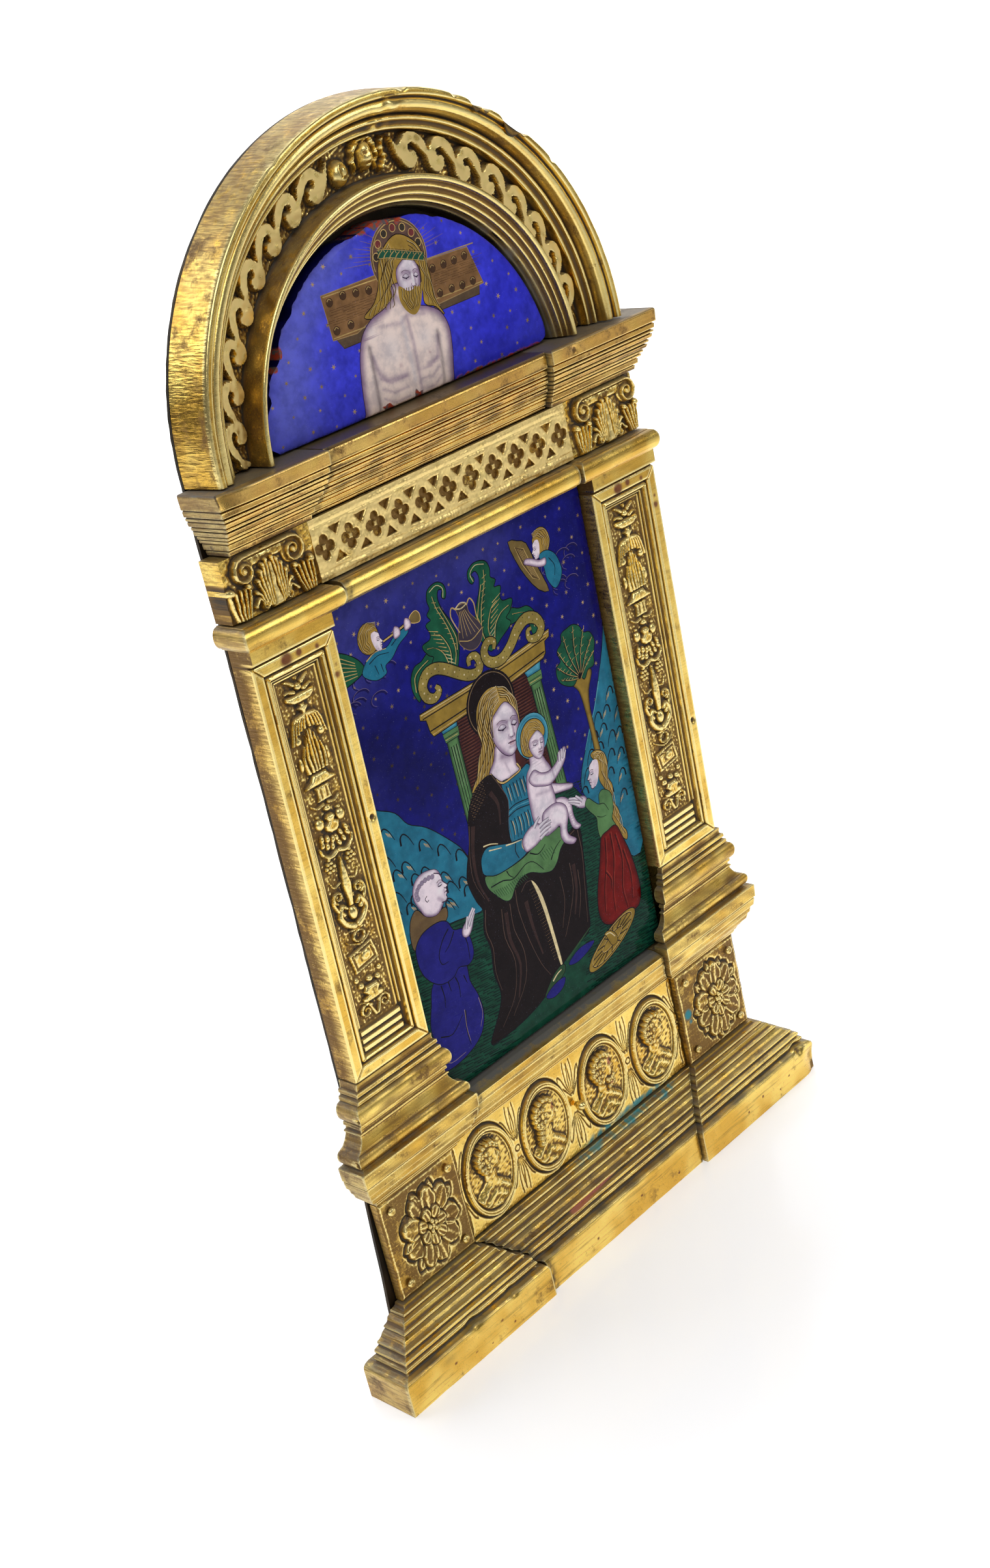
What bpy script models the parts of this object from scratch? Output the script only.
"""A standing pax: a small tabernacle of cast and gilt bronze that holds two painted enamel plaques.

Lengths are in millimetres and become metres when a mesh is made. X runs to the right and Z up. A depth is
measured forward, towards -Y, from the plane that the backs of the mouldings lie near.
"""
import math

import bmesh
import bpy
from mathutils import Vector
from mathutils.geometry import delaunay_2d_cdt

MM = 0.001

# ---------------------------------------------------------------- driving dimensions
HEIGHT = 190.0
PLINTH_HALF_WIDTH = 54.3
PLINTH_FRONT = 9.0            # depth of the plinth's face
PLINTH_BACK = -1.2            # the plinth runs on behind the back plate
GAP = 0.3                     # between pieces that touch
BACK = 0.3                    # depth of the pieces' backs
PLATE_THICKNESS = 0.6         # back plate, behind depth 0

# Heights of the courses, bottom to top, with a gap over each
BASE_HEIGHT = 13.4
PEDESTAL_HEIGHT = 18.2
CAP_HEIGHT = 22.2
PILASTER_HEIGHT = 69.1
ASTRAGAL_HEIGHT = 3.6
CAPITAL_HEIGHT = 9.1
CORNICE_HEIGHT = 9.3

PEDESTAL_Z = BASE_HEIGHT + GAP
CAP_Z = PEDESTAL_Z + PEDESTAL_HEIGHT + GAP
PILASTER_Z = CAP_Z + CAP_HEIGHT + GAP
ASTRAGAL_Z = PILASTER_Z + PILASTER_HEIGHT + GAP
CAPITAL_Z = ASTRAGAL_Z + ASTRAGAL_HEIGHT + GAP
CORNICE_Z = CAPITAL_Z + CAPITAL_HEIGHT + GAP
ARCH_FOOT_Z = CORNICE_Z + CORNICE_HEIGHT + GAP

# Pedestal
PEDESTAL_IN = 28.6
PEDESTAL_OUT = 45.65
PEDESTAL_FRONT = 2.0
MEDALLION_PLATE_FRONT = 0.8
RESSAUT_X = 37.45             # middle of the plinth's side lengths
CAP_X = 36.75                 # middle of the pedestal caps
CAP_WALL = 29.5               # inner wall of a cap behind the plaque's front
CAP_LAP = 3.2                 # from this depth a cap laps over the plaque's corner
SET_BACK = 1.0                # the centre lengths lie this far behind the side ones

# Pilasters, plaque and the slight lean that they share
PILASTER_X = 36.4
PILASTER_HALF = 7.8
PILASTER_FRONT = 4.6
NECK_Z = PILASTER_Z + 66.5    # plain fillet over the frame
LEAN = 0.0249                 # sideways drift of the upright pieces, per unit of height
LEAN_Z = 77.6
PLAQUE_HALF = 28.2
PLAQUE_Z = 40.8
PLAQUE_EDGE = 2.1
PLAQUE_FRONT = 2.7

# Entablature
ASTRAGAL_X = 35.35
CAPITAL_X = 35.5
CAPITAL_HALF = 8.2
CAPITAL_FRONT = 4.9
FRIEZE_HALF = 26.0
FRIEZE_FRONT = 4.7
FRIEZE_BACK = 3.7
QUATREFOILS = 11
QUATREFOIL_PITCH = 5.04
CORNICE_X = 34.3
CORNICE_FRONT = 9.7           # the whole part's foremost edge
CORNICE_STRETCH = {-1: -1.25, 1: 1.25}     # the right end length is the longer one

# Arch
ARCH_RADIUS = 42.2
ARCH_X = -0.5                 # it stands a little left of the middle
ARCH_Z = HEIGHT - ARCH_RADIUS
ARCH_STEPS = 36
BAND_OUT = 36.5               # radii of the sunk band
BAND_IN = 31.3
BAND_DEPTH = 3.0
WAVE_TOP = 4.2
WAVES = 8                     # on each side of the apex
LUNETTE_RADIUS = 27.6
LUNETTE_EDGE = 1.9
LUNETTE_FRONT = 2.6

BACK_Y = (CORNICE_FRONT + PLINTH_BACK) / 2.0   # the depth that lies on Y = 0


# ---------------------------------------------------------------- materials
def material(name, colour, roughness, metallic):
    """A Principled material."""
    made = bpy.data.materials.new(name)
    made.use_nodes = True
    shader = made.node_tree.nodes["Principled BSDF"]
    shader.inputs["Base Color"].default_value = (*colour, 1.0)
    shader.inputs["Roughness"].default_value = roughness
    shader.inputs["Metallic"].default_value = metallic
    return made


def gilt_bronze(name):
    """Gold colour of the castings."""
    return material(name + "_gilt", (0.72, 0.48, 0.17), 0.34, 1.0)


def dark_bronze(name):
    """Brown colour of the sheet at the back."""
    return material(name + "_dark", (0.16, 0.11, 0.06), 0.55, 1.0)


def enamel(name):
    """Blue colour of the glassy plaques."""
    return material(name + "_enamel", (0.03, 0.04, 0.32), 0.12, 0.0)


# ---------------------------------------------------------------- mesh helpers
def add_object(name, points, faces, finish, side=1, lean=False):
    """One closed solid from (x, depth, z) points. side -1 mirrors it to the left."""
    placed = []
    for x, depth, z in points:
        drift = LEAN * (z - LEAN_Z) if lean else 0.0
        placed.append(((side * x + drift) * MM, (BACK_Y - depth) * MM, z * MM))
    mesh = bpy.data.meshes.new(name)
    mesh.from_pydata(placed, [], faces)
    work = bmesh.new()
    work.from_mesh(mesh)
    bmesh.ops.recalc_face_normals(work, faces=work.faces)
    work.to_mesh(mesh)
    work.free()
    mesh.materials.append(finish(name))
    thing = bpy.data.objects.new(name, mesh)
    bpy.context.scene.collection.objects.link(thing)
    return thing


def loft(name, sections, finish, side=1):
    """A solid through plan sections (z, [(x, depth), ...]) with equal numbers of corners."""
    count = len(sections[0][1])
    points = [(x, depth, z) for z, plan in sections for x, depth in plan]
    faces = [list(range(count)), list(range(len(points) - count, len(points)))]
    for row in range(len(sections) - 1):
        for k in range(count):
            a = row * count + k
            b = row * count + (k + 1) % count
            faces.append([a, b, b + count, a + count])
    return add_object(name, points, faces, finish, side)


def rectangle(x0, x1, back, front):
    """Plan section with square corners."""
    return [(x0, back), (x0, front), (x1, front), (x1, back)]


def half_round(rise, radius, half, front, bulge, steps=4):
    """Profile rows of a torus: (rise, half width, depth) round a middle at the given rise."""
    rows = []
    for k in range(steps + 1):
        angle = math.pi * (k / steps - 0.5)
        out = bulge * math.cos(angle)
        rows.append((rise + radius * math.sin(angle), half + out, front + out))
    return rows


def inside(x, z, loop):
    """Whether a point is inside a closed loop."""
    found = False
    for (ax, az), (bx, bz) in zip(loop, loop[1:] + loop[:1]):
        if (az > z) != (bz > z) and x < ax + (z - az) * (bx - ax) / (bz - az):
            found = not found
    return found


def flat(loop):
    """The loop's points without their depths."""
    return [(p[0], p[1]) for p in loop]


def triangulate(loops, chains=(), points=()):
    """Delaunay triangles inside loops[0] that keep each loop's and chain's edges.

    Points are (x, z, depth). Returns the points used and triangles of their numbers."""
    given = []
    edges = []
    for loop in loops:
        first = len(given)
        given += loop
        edges += [(first + k, first + (k + 1) % len(loop)) for k in range(len(loop))]
    for chain in chains:
        first = len(given)
        given += chain
        edges += [(first + k, first + k + 1) for k in range(len(chain) - 1)]
    given += points
    made = delaunay_2d_cdt([Vector(p[:2]) for p in given], edges, [], 0, 1e-6)
    source = [ids[0] for ids in made[3]]
    outline = flat(loops[0])
    triangles = []
    for face in made[2]:
        middle_x = sum(made[0][k].x for k in face) / len(face)
        middle_z = sum(made[0][k].y for k in face) / len(face)
        if inside(middle_x, middle_z, outline):
            triangles.append([source[k] for k in face])
    return given, triangles


def relief(name, loops, chains, points, finish, back=BACK, side=1, lean=False):
    """A slab with a flat back whose front goes through every given (x, z, depth) point."""
    used, triangles = triangulate(loops, chains, points)
    count = len(loops[0])
    solid = [(x, depth, z) for x, z, depth in used]
    behind = len(solid)
    solid += [(x, back, z) for x, z, depth in loops[0]]
    faces = triangles + [list(range(behind, behind + count))]
    for k in range(count):
        after = (k + 1) % count
        faces.append([k, after, behind + after, behind + k])
    return add_object(name, solid, faces, finish, side, lean)


def ring(x, z, across, up, depth, count, start=0.0):
    """Points of an ellipse, as (x, z, depth)."""
    turns = [start + math.tau * k / count for k in range(count)]
    return [(x + across * math.cos(t), z + up * math.sin(t), depth) for t in turns]


def frame_loop(x0, x1, z0, z1, inset, depth):
    """Corners of a rectangle inside another one, as (x, z, depth)."""
    return [(x0 + inset, z0 + inset, depth), (x1 - inset, z0 + inset, depth),
            (x1 - inset, z1 - inset, depth), (x0 + inset, z1 - inset, depth)]


def turned(name, x, z, rows, count, finish, side=1):
    """A solid turned round an axis that runs forward: rows of (depth, radius), the last one a point."""
    points = []
    for depth, radius in rows[:-1]:
        points += [(px, d, pz) for px, pz, d in ring(x, z, radius, radius, depth, count)]
    points.append((x, rows[-1][0], z))
    faces = [list(range(count))]
    for row in range(len(rows) - 2):
        for k in range(count):
            a = row * count + k
            b = row * count + (k + 1) % count
            faces.append([a, b, b + count, a + count])
    last = (len(rows) - 2) * count
    faces += [[last + k, last + (k + 1) % count, len(points) - 1] for k in range(count)]
    return add_object(name, points, faces, finish, side)


# ---------------------------------------------------------------- plinth and pedestal
# Rise and projection of the plinth's steps, bottom to top
BASE_PROFILE = [(0.0, 8.65), (5.4, 8.65), (6.3, 8.1), (6.4, 7.1), (7.1, 7.1), (7.2, 6.5), (8.5, 6.3),
                (8.6, 5.5), (9.2, 5.4), (9.4, 4.6), (10.1, 4.4), (10.2, 3.7), (11.0, 3.5), (11.1, 2.9),
                (12.1, 2.6), (12.3, 1.8), (12.8, 1.5), (12.9, 0.7), (BASE_HEIGHT, 0.4)]
BASE_LEDGE = 6.35             # below it the plinth reaches back under the plate


def base_rows():
    """Rows (z, half width, front, back) of a side length of the plinth."""
    widest = BASE_PROFILE[0][1]
    spread = (PLINTH_HALF_WIDTH - RESSAUT_X) - widest
    reach = (PLINTH_FRONT - PEDESTAL_FRONT) / widest
    rows = []
    for rise, out in BASE_PROFILE:
        back = PLINTH_BACK if rise < BASE_LEDGE else BACK
        rows.append((rise, spread + out, PEDESTAL_FRONT + reach * out, back))
    return rows


def build_plinth():
    """Three lengths: the side ones step forward and return at their inner ends."""
    rows = base_rows()
    for side, word in ((-1, "left"), (1, "right")):
        sections = [(z, rectangle(RESSAUT_X - half, RESSAUT_X + half, back, front))
                    for z, half, front, back in rows]
        loft("plinth_" + word, sections, gilt_bronze, side)
    sections = []
    for z, half, front, back in rows:
        end = RESSAUT_X - half - GAP
        height = 0.0 if z == 0.0 else min(z + GAP, BASE_HEIGHT)
        sections.append((height, rectangle(-end, end, back, front - SET_BACK)))
    loft("plinth_centre", sections, gilt_bronze)


PETALS = 9
INNER_PETALS = 6
ROSETTE_X = 37.1
ROSETTE_RADIUS = 6.7
ROSETTE_STRETCH = 1.08        # taller than wide
PIN_INSET = 2.2
PIN_RADIUS = 0.75
PIN_HEIGHT = 0.5


def petal_ring(radius, notch, crest, valley, petals, samples):
    """A ring of petals round the rosette's middle: notch shortens it between two petals."""
    middle_z = PEDESTAL_Z + PEDESTAL_HEIGHT / 2.0
    points = []
    for k in range(petals * samples):
        turn = math.tau * k / (petals * samples)
        open_part = abs(math.sin(petals * turn / 2.0)) ** 0.6
        reach = radius * (1.0 - notch * (1.0 - open_part))
        depth = valley + (crest - valley) * open_part
        points.append((ROSETTE_X + reach * math.cos(turn),
                       middle_z + ROSETTE_STRETCH * reach * math.sin(turn), depth))
    return points


def build_rosette_panels():
    """A rosette of two rings of petals on each end panel, with a pin in each corner."""
    top = PEDESTAL_Z + PEDESTAL_HEIGHT
    front = PEDESTAL_FRONT
    loops = [frame_loop(PEDESTAL_IN, PEDESTAL_OUT, PEDESTAL_Z, top, 0.0, front),
             petal_ring(ROSETTE_RADIUS + 0.15, 0.16, front, front, PETALS, 4),
             petal_ring(ROSETTE_RADIUS, 0.16, front + 0.9, front + 0.5, PETALS, 4),
             petal_ring(5.2, 0.0, front + 1.2, front + 0.3, PETALS, 4),
             petal_ring(3.6, 0.0, front + 0.8, front + 0.3, PETALS, 4),
             petal_ring(3.3, 0.0, front + 0.4, front + 0.4, INNER_PETALS, 3),
             petal_ring(3.1, 0.08, front + 1.3, front + 0.7, INNER_PETALS, 3),
             petal_ring(1.5, 0.0, front + 1.0, front + 0.6, INNER_PETALS, 3),
             petal_ring(1.0, 0.0, front + 0.6, front + 0.6, INNER_PETALS, 2),
             petal_ring(0.8, 0.0, front + 1.3, front + 1.3, INNER_PETALS, 2)]
    middle = [(ROSETTE_X, PEDESTAL_Z + PEDESTAL_HEIGHT / 2.0, front + 1.5)]
    head = [(front + GAP + PIN_HEIGHT * rise, PIN_RADIUS * share)
            for rise, share in ((0.0, 1.0), (0.6, 0.85), (0.95, 0.45), (1.0, 0.0))]
    for side, word in ((-1, "left"), (1, "right")):
        relief("rosette_panel_" + word, loops, (), middle, gilt_bronze, side=side)
        number = 0
        for x in (PEDESTAL_IN + PIN_INSET, PEDESTAL_OUT - PIN_INSET):
            for z in (PEDESTAL_Z + PIN_INSET, top - PIN_INSET):
                number += 1
                turned("panel_pin_%s_%d" % (word, number), x, z, head, 6, gilt_bronze, side)


MEDALLION_X = (7.48, 21.40)
MEDALLION_ACROSS = 5.8
MEDALLION_UP = 8.3
MEDALLION_SIDES = 16
BALL_RADIUS = 0.95
BALL_NECK = (0.3, 0.45)       # length and radius


def build_medallion_plate():
    """The engraved plate: four oval medallions with rims, each with a raised head and shoulders."""
    half = PEDESTAL_IN - GAP
    top = PEDESTAL_Z + PEDESTAL_HEIGHT
    middle = PEDESTAL_Z + PEDESTAL_HEIGHT / 2.0
    front = MEDALLION_PLATE_FRONT
    loops = [frame_loop(-half, half, PEDESTAL_Z, top, 0.0, front)]
    points = []
    for x in sorted([-m for m in MEDALLION_X] + list(MEDALLION_X)):
        facing = 1.0 if x > 0 else -1.0
        for inset, depth in ((0.0, front), (0.12, front + 0.6), (0.95, front + 0.6), (1.1, front + 0.1)):
            loops.append(ring(x, middle, MEDALLION_ACROSS - inset, MEDALLION_UP - inset, depth,
                              MEDALLION_SIDES))
        loops.append(ring(x, middle + 1.9, 2.3, 3.1, front + 0.15, 10))
        loops.append(ring(x, middle + 1.9, 1.5, 2.2, front + 0.8, 10))
        points.append((x + 0.4 * facing, middle + 2.1, front + 1.0))
        loops.append(ring(x, middle - 3.7, 3.2, 1.9, front + 0.15, 10))
        points.append((x, middle - 3.4, front + 0.7))
    relief("medallion_plate", loops, (), points, gilt_bronze)
    foot = front + GAP
    middle_depth = foot + BALL_NECK[0] + BALL_RADIUS
    rows = [(foot, BALL_NECK[1]), (foot + BALL_NECK[0], BALL_NECK[1])]
    for k in range(1, 6):
        angle = math.pi * (k / 5.0)
        rows.append((middle_depth - BALL_RADIUS * math.cos(angle), BALL_RADIUS * math.sin(angle)))
    turned("ball_pin", 0.0, middle, rows, 10, gilt_bronze)


# Rise, half width and front of the pedestal's cornice, up to the top of its fascia
PEDESTAL_CORNICE = [(0.0, 9.0, 2.2), (0.8, 9.3, 2.6), (1.5, 9.8, 3.2), (2.2, 10.7, 4.0), (2.3, 11.1, 4.3),
                    (3.4, 11.3, 4.5), (3.5, 11.6, 4.8), (4.6, 11.8, 5.0), (4.8, 12.3, 5.6),
                    (6.3, 12.4, 5.7), (6.4, 12.6, 5.95), (8.9, 12.65, 6.05)]
SILL_RISE = (7.4, 8.1)        # front and back edges of the bevel under the plaque
SILL_BACK = 3.05


def build_pedestal_caps():
    """Pedestal cornice, and on its side lengths the pilaster's base: two tori, scotia and fillets."""
    rows = list(PEDESTAL_CORNICE)
    rows += [(9.0, 11.5, 4.9), (9.3, 11.5, 4.8)]
    rows += half_round(10.4, 1.0, 11.6, 4.75, 0.6)
    rows += [(11.6, 11.0, 4.5), (12.8, 9.9, 4.15), (13.9, 9.4, 4.0), (14.0, 9.1, 3.9), (14.8, 9.1, 4.0),
             (14.9, 9.4, 4.3), (15.7, 9.4, 4.4)]
    rows += half_round(17.35, 1.55, 9.3, 4.6, 0.8)
    rows += [(19.0, 8.9, 4.75), (19.9, 8.9, 4.75), (20.0, 8.5, 4.6), (21.0, 8.5, 4.6), (21.1, 8.2, 4.45),
             (CAP_HEIGHT, 8.1, 4.4)]
    for side, word in ((-1, "left"), (1, "right")):
        sections = []
        for rise, half, front in rows:
            inner = CAP_X - half
            outer = CAP_X + half
            lap = CAP_LAP if rise > SILL_RISE[1] else BACK + 0.1
            plan = [(CAP_WALL, BACK), (CAP_WALL, lap), (inner, lap), (inner, front), (outer, front),
                    (outer, BACK)]
            sections.append((CAP_Z + rise, plan))
        loft("pedestal_cap_" + word, sections, gilt_bronze, side)

    sections = []
    for rise, half, front in PEDESTAL_CORNICE:
        end = CAP_X - half - GAP
        low = max(rise - GAP, 0.0)
        if low < SILL_RISE[0]:
            sections.append((CAP_Z + low, rectangle(-end, end, BACK, front - SET_BACK)))
    end = CAP_X - PEDESTAL_CORNICE[-1][1] - GAP
    for rise, front in zip(SILL_RISE, (PEDESTAL_CORNICE[-1][2] - SET_BACK, SILL_BACK)):
        sections.append((CAP_Z + rise, rectangle(-end, end, BACK, front)))
    loft("pedestal_cap_centre", sections, gilt_bronze)


# ---------------------------------------------------------------- pilasters
# Candelabrum, bottom to top: share of the field's height, half width and height of each swelling
CANDELABRUM = [(0.000, 0.5, 0.3), (0.030, 0.6, 0.5), (0.045, 2.5, 0.7), (0.110, 2.6, 0.8), (0.125, 0.7, 0.7),
               (0.150, 2.8, 0.7), (0.175, 1.2, 0.9), (0.205, 1.7, 1.0), (0.235, 0.8, 0.8),
               (0.270, 3.0, 0.9), (0.300, 2.3, 1.0), (0.330, 0.6, 0.7), (0.370, 0.5, 0.6),
               (0.400, 2.6, 0.8), (0.440, 3.0, 1.0), (0.470, 0.9, 0.8), (0.495, 0.7, 0.9),
               (0.530, 2.0, 1.1), (0.560, 2.2, 1.2), (0.585, 1.0, 0.9), (0.615, 2.4, 1.0),
               (0.645, 1.3, 0.8), (0.660, 2.8, 0.9), (0.680, 1.0, 0.8), (0.720, 1.9, 1.0),
               (0.770, 1.5, 1.1), (0.800, 0.7, 0.8), (0.825, 3.0, 0.8), (0.850, 2.2, 0.9),
               (0.875, 0.6, 0.7), (0.895, 2.0, 0.9), (0.910, 0.8, 0.8), (0.940, 2.3, 0.8),
               (0.975, 1.8, 0.7), (1.000, 0.4, 0.3)]
FIELD_DEPTH = 3.3
FIELD_Z = (PILASTER_Z + 7.6, NECK_Z - 3.6)     # foot and top of the candelabrum


def candelabrum(axis_x):
    """Outline loop and ridge chains of the raised candelabrum on a pilaster's field."""
    foot, top = FIELD_Z
    right = []
    left = []
    ridges = {-1: [], 0: [], 1: []}
    for share, half, lift in CANDELABRUM:
        z = foot + share * (top - foot)
        right.append((axis_x + half, z, FIELD_DEPTH))
        left.append((axis_x - half, z, FIELD_DEPTH))
        ridges[0].append((axis_x, z, FIELD_DEPTH + lift))
        for hand in (-1, 1):
            ridges[hand].append((axis_x + hand * 0.6 * half, z, FIELD_DEPTH + 0.85 * lift))
    return right + left[::-1], [ridges[key][1:-1] for key in (-1, 0, 1)]


def build_pilasters():
    """A mitred frame round a sunk field with a candelabrum, and a plain neck over it."""
    x0 = PILASTER_X - PILASTER_HALF
    x1 = PILASTER_X + PILASTER_HALF
    front = PILASTER_FRONT
    top = PILASTER_Z + PILASTER_HEIGHT
    outline = [(x0, PILASTER_Z, front), (x1, PILASTER_Z, front), (x1, NECK_Z, front),
               (x1, NECK_Z + 0.25, front - 0.4), (x1, NECK_Z + 0.6, front + 0.5), (x1, top, front + 0.6),
               (x0, top, front + 0.6), (x0, NECK_Z + 0.6, front + 0.5), (x0, NECK_Z + 0.25, front - 0.4),
               (x0, NECK_Z, front)]
    loops = [outline]
    for inset, depth in ((1.9, front), (2.05, front - 0.5), (2.35, front - 0.5), (2.5, front - 0.1),
                         (2.95, front - 0.2), (3.15, FIELD_DEPTH)):
        loops.append(frame_loop(x0, x1, PILASTER_Z, NECK_Z, inset, depth))
    raised, ridges = candelabrum(PILASTER_X)
    loops.append(raised)
    chains = ridges + [[outline[k], outline[-1 - (k - 2)]] for k in (2, 3, 4)]
    for side, word in ((-1, "left"), (1, "right")):
        relief("pilaster_" + word, loops, chains, [], gilt_bronze, side=side, lean=True)


# ---------------------------------------------------------------- astragal, capitals and frieze
def build_astragal():
    """The torus over the pilasters and the plaque, in three lengths."""
    rows = [(0.0, 8.5, 6.3)] + half_round(1.9, 1.6, 8.5, 6.5, 1.0, 6) + [(ASTRAGAL_HEIGHT, 8.4, 6.2)]
    for side, word in ((-1, "left"), (1, "right")):
        sections = [(ASTRAGAL_Z + rise, rectangle(ASTRAGAL_X - half, ASTRAGAL_X + half, BACK, front))
                    for rise, half, front in rows]
        loft("astragal_" + word, sections, gilt_bronze, side)
    end = ASTRAGAL_X - max(half for rise, half, front in rows) - GAP
    sections = [(ASTRAGAL_Z + rise, rectangle(-end, end, BACK, front - 0.2)) for rise, half, front in rows]
    loft("astragal_centre", sections, gilt_bronze)


def leaf(x, z, half, height, lift, lobes):
    """An acanthus leaf: a lobed outline on the bell, a raised inner loop and a midrib."""
    outer = []
    inner = []
    for k in range(2 * lobes + 1):
        share = k / (2 * lobes)
        swell = math.sin(math.pi * (0.15 + 0.75 * share)) ** 0.8
        lobe = 1.0 if k % 2 else 0.78
        outer.append((half * swell * lobe, share * 0.92 * height))
        inner.append((0.62 * half * swell * lobe, (0.06 + share * 0.80) * height))
    loops = []
    for side_points, tip, depth in ((outer, height, CAPITAL_FRONT), (inner, 0.94 * height, lift)):
        loop = [(x + px, z + pz, depth) for px, pz in side_points]
        loop.append((x, z + tip, depth + (0.3 if depth == lift else 0.0)))
        loop += [(x - px, z + pz, depth) for px, pz in side_points[::-1]]
        loops.append(loop)
    rib = [(x, z + share * height, lift - 0.25 + 0.4 * share) for share in (0.15, 0.4, 0.65, 0.85)]
    return loops, rib


def build_capitals():
    """A bell with two volutes, a tall acanthus leaf between two low ones."""
    foot = CAPITAL_Z
    loops = [frame_loop(CAPITAL_X - CAPITAL_HALF, CAPITAL_X + CAPITAL_HALF, foot,
                        foot + CAPITAL_HEIGHT, 0.0, CAPITAL_FRONT)]
    chains = []
    points = []
    for hand in (-1, 1):
        x = CAPITAL_X + hand * 5.3
        z = foot + 6.75
        for radius, lift in ((2.15, 0.0), (2.0, 1.1), (1.45, 1.0), (1.25, 0.5), (0.8, 0.5), (0.6, 1.1)):
            loops.append(ring(x, z, radius, radius, CAPITAL_FRONT + lift, 12 if radius > 1.0 else 8))
        points.append((x, z, CAPITAL_FRONT + 1.2))
    for x, half, height, lobes in ((CAPITAL_X, 2.7, 7.6, 4), (CAPITAL_X - 6.1, 1.9, 4.3, 3),
                                   (CAPITAL_X + 6.1, 1.9, 4.3, 3)):
        leaf_loops, rib = leaf(x, foot + 0.15, half, height, CAPITAL_FRONT + 0.9, lobes)
        loops += leaf_loops
        chains.append(rib)
    for side, word in ((-1, "left"), (1, "right")):
        relief("capital_" + word, loops, chains, points, gilt_bronze, side=side)


def quatrefoil(x, z, reach, radius):
    """Four round lobes that run together."""
    cusp = reach * math.sqrt(0.5) + math.sqrt(radius * radius - 0.5 * reach * reach)
    edge = cusp * math.sqrt(0.5)
    sweep = math.atan2(edge, edge - reach)
    points = []
    for lobe in range(4):
        turn = lobe * math.pi / 2.0
        cx = x + reach * math.cos(turn)
        cz = z + reach * math.sin(turn)
        for k in range(4):
            angle = turn - sweep + 2.0 * sweep * k / 4.0
            points.append((cx + radius * math.cos(angle), cz + radius * math.sin(angle), FRIEZE_FRONT))
    return points


def build_frieze():
    """A strip pierced with quatrefoils, with a triangle over and under each pair."""
    z0 = CAPITAL_Z
    z1 = CAPITAL_Z + CAPITAL_HEIGHT
    middle = (z0 + z1) / 2.0
    outline = frame_loop(-FRIEZE_HALF, FRIEZE_HALF, z0, z1, 0.0, FRIEZE_FRONT)
    holes = []
    for k in range(QUATREFOILS):
        x = (k - (QUATREFOILS - 1) / 2.0) * QUATREFOIL_PITCH
        if abs(x) < FRIEZE_HALF - 2.0:
            holes.append(quatrefoil(x, middle, 0.95, 0.78))
    for k in range(QUATREFOILS - 1):
        x = (k - (QUATREFOILS - 2) / 2.0) * QUATREFOIL_PITCH
        for hand in (-1, 1):
            base = middle + hand * 2.75
            holes.append([(x - 1.1, base, FRIEZE_FRONT), (x + 1.1, base, FRIEZE_FRONT),
                          (x, base - hand * 1.6, FRIEZE_FRONT)])
    used, triangles = triangulate([outline] + holes)
    kept = []
    for face in triangles:
        x = sum(used[k][0] for k in face) / 3.0
        z = sum(used[k][1] for k in face) / 3.0
        if not any(inside(x, z, flat(hole)) for hole in holes):
            kept.append(face)
    count = len(used)
    solid = [(x, depth, z) for x, z, depth in used] + [(x, FRIEZE_BACK, z) for x, z, depth in used]
    faces = kept + [[k + count for k in face[::-1]] for face in kept]
    first = 0
    for loop in [outline] + holes:
        for k in range(len(loop)):
            a = first + k
            b = first + (k + 1) % len(loop)
            faces.append([a, b, b + count, a + count])
        first += len(loop)
    add_object("frieze_strip", solid, faces, gilt_bronze)


# ---------------------------------------------------------------- cornice
# Rise, half width and front of the cornice's steps
CORNICE_PROFILE = [(0.0, 8.9, 5.2), (0.8, 9.0, 5.4), (0.9, 9.2, 5.8), (1.8, 9.3, 6.0), (2.0, 9.5, 6.5),
                   (2.9, 9.7, 6.9), (3.1, 10.0, 7.4), (4.3, 10.2, 7.9), (4.5, 10.5, 8.4),
                   (5.6, 10.7, 8.8), (5.8, 10.9, 9.1), (7.0, 11.0, 9.2), (7.2, 11.1, 9.6),
                   (CORNICE_HEIGHT, 11.15, CORNICE_FRONT)]


def build_cornice():
    """Three lengths that widen upwards, the end ones further forward."""
    ends = {}
    for side, word in ((-1, "left"), (1, "right")):
        sections = []
        ends[side] = []
        for rise, half, front in CORNICE_PROFILE:
            half += CORNICE_STRETCH[side]
            ends[side].append(CORNICE_X - half - GAP)
            sections.append((CORNICE_Z + rise, rectangle(CORNICE_X - half, CORNICE_X + half, BACK, front)))
        loft("cornice_" + word, sections, gilt_bronze, side)
    sections = []
    for k, (rise, half, front) in enumerate(CORNICE_PROFILE):
        last = k == len(CORNICE_PROFILE) - 1
        low = rise if last else max(rise - GAP, 0.0)
        sections.append((CORNICE_Z + low, rectangle(-ends[-1][k], ends[1][k], BACK, front - 0.35)))
    loft("cornice_centre", sections, gilt_bronze)


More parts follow.
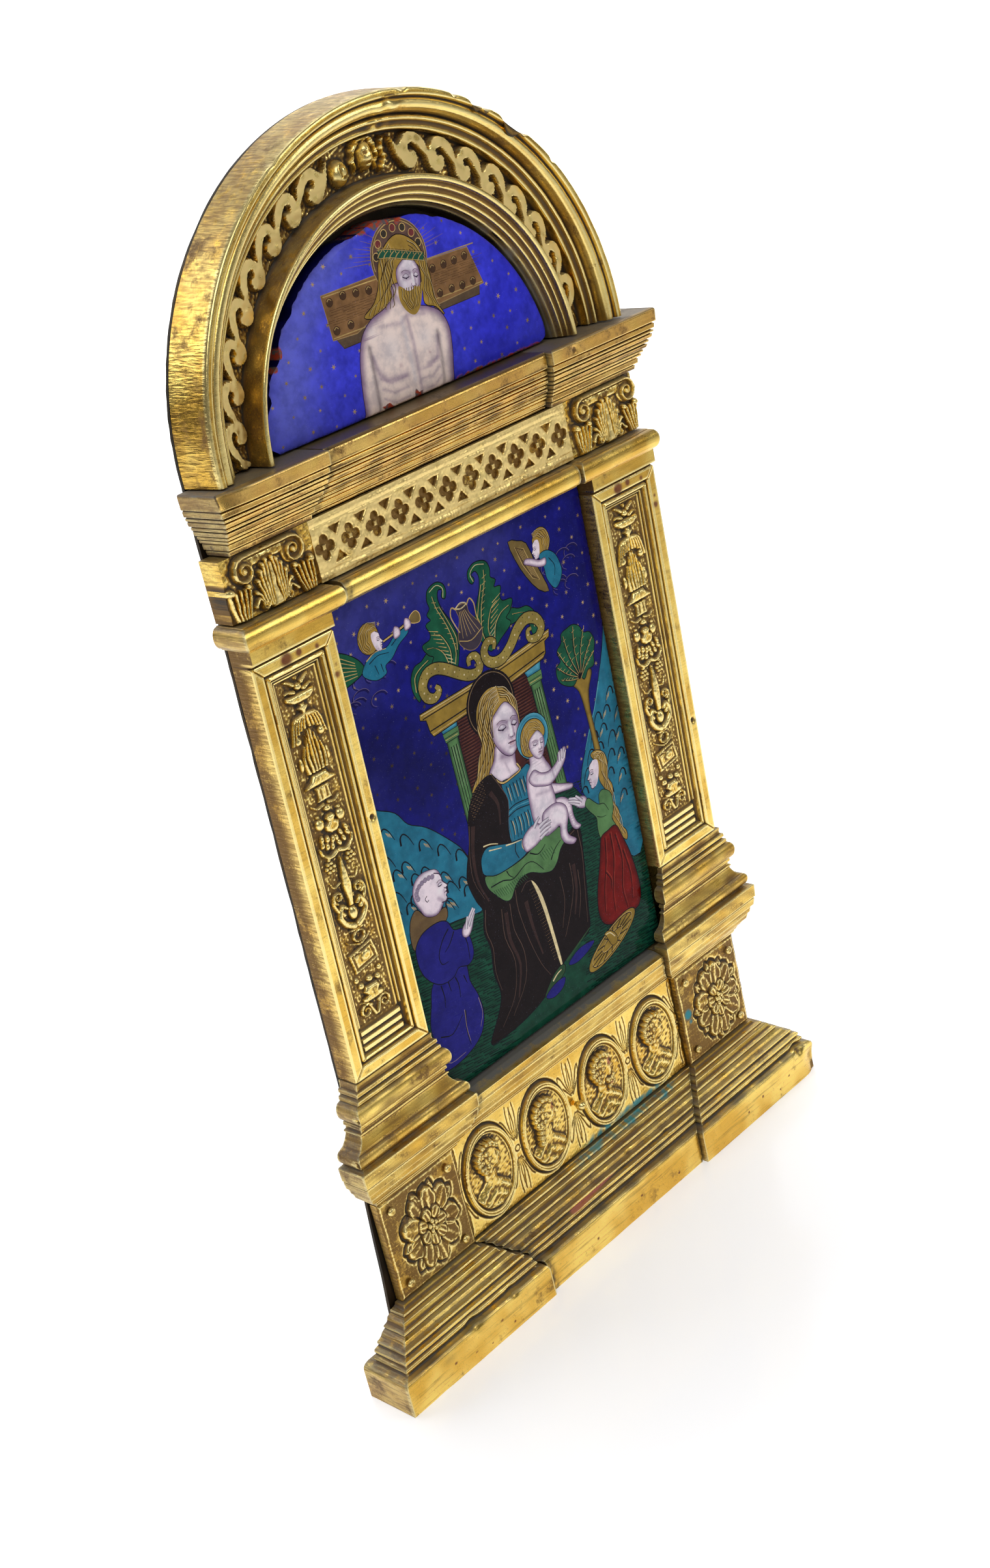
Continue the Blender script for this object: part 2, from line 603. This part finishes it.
# ---------------------------------------------------------------- arch
# Radius and depth of the mouldings outside and inside the sunk band, outside to inside
ARCH_OUTER = [(ARCH_RADIUS, BACK), (ARCH_RADIUS, 7.8), (41.0, 7.8), (40.8, 7.0), (40.4, 7.4), (39.7, 7.6),
              (39.0, 7.0), (38.5, 5.9), (38.3, 5.1), (37.9, 5.8), (37.4, 5.8), (37.3, 5.1), (36.6, 5.0),
              (BAND_OUT, BAND_DEPTH)]
ARCH_INNER = [(BAND_IN, BAND_DEPTH), (31.2, 7.3), (30.4, 7.3), (30.3, 6.7), (29.5, 5.4), (28.8, 4.9),
              (28.7, 4.0), (28.3, 3.8), (28.2, BACK)]
# Outer and inner edge of one wave: share of its length along the arc, height over the inner envelope
WAVE_OUTER = [(0.00, 2.5), (0.16, 3.5), (0.38, 4.2), (0.62, 4.5), (0.84, 4.2), (0.95, 3.5)]
WAVE_INNER = [(0.06, 1.7), (0.26, 2.3), (0.45, 2.9), (0.62, 3.1), (0.73, 2.7), (0.66, 2.1), (0.54, 2.3),
              (0.43, 2.0), (0.39, 1.2), (0.47, 0.4), (0.66, 0.1), (0.85, 0.4), (0.98, 1.0)]
WAVE_TIP = [(0.12, 2.9), (0.34, 4.0), (0.16, 1.8)]             # beyond the last wave
WAVE_FOOT = [(0.0, 1.0), (-0.08, 0.3), (-0.19, 0.5), (-0.22, 1.6), (-0.12, 2.5)]
WAVE_BASE = 31.85             # radius of the inner envelope
WAVE_SPAN = {-1: (2.3, 75.0), 1: (5.4, 79.0)}                  # degrees up from the arch's foot


def arch_path(radius, wear=False):
    """Points (x, z) along the arch at a radius: an upright foot, a half circle, the other foot."""
    points = [(radius, ARCH_FOOT_Z)]
    for k in range(ARCH_STEPS + 1):
        angle = math.pi * k / ARCH_STEPS
        reach = radius - (worn(angle) if wear else 0.0)
        points.append((reach * math.cos(angle), ARCH_Z + reach * math.sin(angle)))
    points.append((-radius, ARCH_FOOT_Z))
    return [(x + ARCH_X, z) for x, z in points]


def worn(angle):
    """How far the outer edge is worn and chipped back on the upper right."""
    middle = math.radians(63.0)
    width = math.radians(20.0)
    return 0.85 * math.exp(-((angle - middle) / width) ** 2)


def wave_band(hand):
    """The running wave from one foot of the arch to near the apex, as one closed loop."""
    start, end = (math.radians(degrees) for degrees in WAVE_SPAN[hand])
    length = (end - start) / WAVES
    outer = []
    inner = []
    for wave in range(WAVES):
        outer += [(wave + along, rise) for along, rise in WAVE_OUTER]
        inner += [(wave + along, rise) for along, rise in WAVE_INNER]
    tip = [(WAVES + along, rise) for along, rise in WAVE_TIP]
    loop = []
    for along, rise in outer + tip + inner[::-1] + WAVE_FOOT:
        turn = start + along * length
        if hand < 0:
            turn = math.pi - turn
        radius = WAVE_BASE + rise
        loop.append((ARCH_X + radius * math.cos(turn), ARCH_Z + radius * math.sin(turn), BAND_DEPTH))
    return loop


def apex_ornament():
    """Loops and tops of the small raised mask, its two wings and the ball beside it."""
    loops = []
    points = []
    for degrees, radius, across, up, lift, sides in ((90.2, 34.1, 1.3, 2.1, 2.2, 12),
                                                     (86.2, 34.1, 0.7, 1.8, 1.2, 8),
                                                     (94.0, 34.1, 0.55, 1.8, 1.2, 8),
                                                     (98.7, 33.4, 1.6, 1.6, 2.0, 12)):
        angle = math.radians(degrees)
        x = ARCH_X + radius * math.cos(angle)
        z = ARCH_Z + radius * math.sin(angle)
        loops.append(ring(x, z, across, up, BAND_DEPTH, sides))
        loops.append(ring(x, z, 0.8 * across, 0.8 * up, BAND_DEPTH + 0.75 * lift, sides))
        points.append((x, z, BAND_DEPTH + lift))
    return loops, points


def build_arch():
    """Mouldings swept round the arch, and between them a sunk band with its raised waves."""
    solid = []
    faces = []
    strips = []
    for profile in (ARCH_OUTER, ARCH_INNER):
        strip = []
        for k, (radius, depth) in enumerate(profile):
            path = arch_path(radius, wear=profile is ARCH_OUTER and k in (0, 1))
            strip.append(list(range(len(solid), len(solid) + len(path))))
            solid += [(x, depth, z) for x, z in path]
        for low, high in zip(strip, strip[1:]):
            for k in range(len(low) - 1):
                faces.append([low[k], low[k + 1], high[k + 1], high[k]])
        strips.append(strip)
    outer, inner = strips
    for k in range(len(outer[0]) - 1):
        faces.append([outer[0][k], outer[0][k + 1], inner[-1][k + 1], inner[-1][k]])
    for end in (0, -1):
        faces.append([row[end] for row in outer] + [row[end] for row in inner])
    rim = [(x, z, BAND_DEPTH) for x, z in arch_path(BAND_OUT)]
    rim += [(x, z, BAND_DEPTH) for x, z in arch_path(BAND_IN)[::-1]]
    known = outer[-1] + inner[0][::-1]
    waves = [wave_band(-1), wave_band(1)]
    bosses, tops = apex_ornament()
    used, triangles = triangulate([rim] + waves + bosses, points=tops)
    number = {}
    for k, (x, z, depth) in enumerate(used):
        number[k] = known[k] if k < len(known) else len(solid)
        if k >= len(known):
            solid.append((x, depth, z))
    first = len(rim)
    raised = {}
    for wave in waves:
        for k in range(first, first + len(wave)):
            raised[k] = len(solid)
            solid.append((used[k][0], WAVE_TOP, used[k][1]))
        for k in range(len(wave)):
            a = first + k
            b = first + (k + 1) % len(wave)
            faces.append([number[a], number[b], raised[b], raised[a]])
        first += len(wave)
    outlines = [flat(wave) for wave in waves]
    for face in triangles:
        x = sum(used[k][0] for k in face) / 3.0
        z = sum(used[k][1] for k in face) / 3.0
        up = any(inside(x, z, outline) for outline in outlines)
        faces.append([raised[k] if up else number[k] for k in face])
    add_object("arch", solid, faces, gilt_bronze)


# ---------------------------------------------------------------- enamels and back plate
def build_enamels():
    """Two plaques, slightly domed: an upright one and a half-round one."""
    top = ASTRAGAL_Z - GAP - 0.1
    loops = [frame_loop(-PLAQUE_HALF, PLAQUE_HALF, PLAQUE_Z, top, inset, depth)
             for inset, depth in ((0.0, PLAQUE_EDGE), (1.5, PLAQUE_EDGE + 0.25), (7.0, PLAQUE_FRONT - 0.1),
                                  (16.0, PLAQUE_FRONT))]
    relief("main_enamel", loops, (), [], enamel, lean=True)
    loops = []
    for inset, depth, steps in ((0.0, LUNETTE_EDGE, 28), (1.5, LUNETTE_EDGE + 0.3, 18),
                                (7.0, LUNETTE_FRONT, 10)):
        radius = LUNETTE_RADIUS - inset
        foot = ARCH_FOOT_Z + inset
        low = math.asin((foot - ARCH_Z) / radius) if inset > 0.9 else 0.0
        loop = [(ARCH_X + radius * math.cos(low + (math.pi - 2.0 * low) * k / steps),
                 ARCH_Z + radius * math.sin(low + (math.pi - 2.0 * low) * k / steps), depth)
                for k in range(steps + 1)]
        if inset == 0.0:
            loop = [(ARCH_X + radius, foot, depth)] + loop + [(ARCH_X - radius, foot, depth)]
        loops.append(loop)
    relief("lunette_enamel", loops, (), [], enamel)


def build_back_plate():
    """A thin plate behind the mouldings, a little wider than the pedestal at its foot."""
    arc = [(ARCH_X + (ARCH_RADIUS - 0.2) * math.cos(math.pi * k / 40),
            ARCH_Z + (ARCH_RADIUS - 0.2) * math.sin(math.pi * k / 40)) for k in range(41)]
    right = [(47.6, BASE_LEDGE + GAP + 0.05), (45.9, CAP_Z), (44.6, PILASTER_Z), (43.0, ASTRAGAL_Z)]
    left = [(-x, z) for x, z in right[::-1]]
    outline = right + arc + left
    count = len(outline)
    points = [(x, depth, z) for depth in (-PLATE_THICKNESS, 0.0) for x, z in outline]
    faces = [list(range(count)), list(range(count, 2 * count))]
    for k in range(count):
        after = (k + 1) % count
        faces.append([k, after, after + count, k + count])
    add_object("back_plate", points, faces, dark_bronze)


def main():
    for thing in list(bpy.data.objects):
        bpy.data.objects.remove(thing, do_unlink=True)
    build_back_plate()
    build_plinth()
    build_rosette_panels()
    build_medallion_plate()
    build_pedestal_caps()
    build_pilasters()
    build_enamels()
    build_astragal()
    build_capitals()
    build_frieze()
    build_cornice()
    build_arch()


main()
